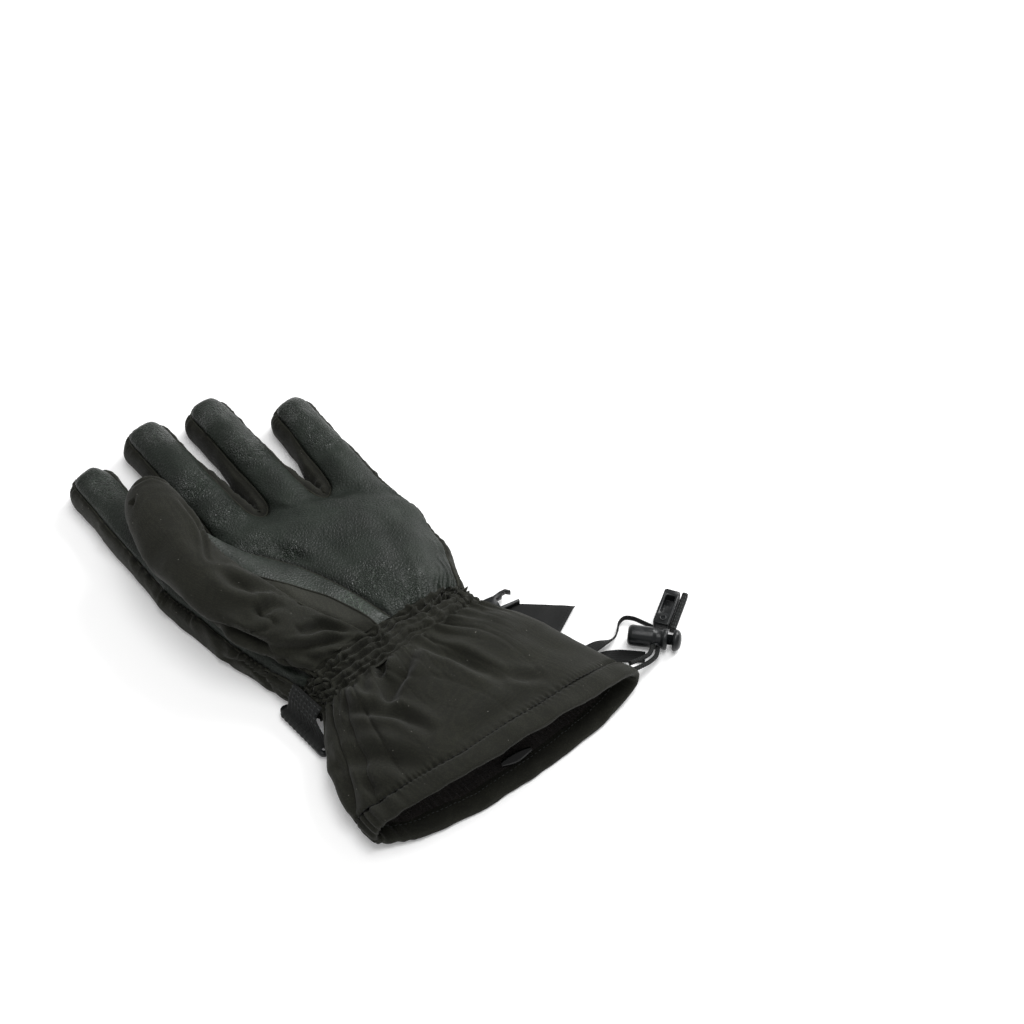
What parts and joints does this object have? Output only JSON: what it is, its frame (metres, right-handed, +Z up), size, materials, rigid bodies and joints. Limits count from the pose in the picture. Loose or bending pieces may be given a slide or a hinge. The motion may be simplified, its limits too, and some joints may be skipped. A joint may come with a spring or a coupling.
{
  "type": "winter glove",
  "caption": "Padded left-hand winter glove lying palm up, with a leather-look palm, gathered wrist, wide cuff, plastic fittings and a drawcord lock.",
  "frame": {"origin": "under the middle of the palm, on the floor, where the back of the hand rests", "axes": "+Z up from the floor through the palm, +Y to the fingertips, +X to the little-finger side"},
  "size_m": [0.2232, 0.3122, 0.054],
  "materials": {
    "leather": "blue-black pebbled synthetic leather with glossy worn wrinkles",
    "softshell": "matte charcoal-olive woven shell",
    "fleece": "dark brown-black brushed fleece",
    "webbing": "black ribbed webbing, tape and cord",
    "plastic": "black moulded plastic, half gloss"
  },
  "bodies": {
    "root": {"back_shell": "softshell", "palm_panel": "leather", "thumb_shell": "softshell", "thumb_crescent": "leather", "wrist_gathers": "softshell", "cuff_shell": "softshell", "cuff_hem": "softshell", "cuff_lining": "fleece", "size_tab": "webbing", "wrist_strap": "webbing", "strap_buckle": "plastic", "side_label": "webbing", "plug_clip": "plastic", "tape_loop": "webbing", "tape_tail": "webbing", "drawcord_upper": "webbing", "drawcord_lower": "webbing", "lock_barrel": "plastic", "lock_button": "plastic", "clip_block": "plastic", "clip_webbing": "webbing"}
  },
  "joints": []
}
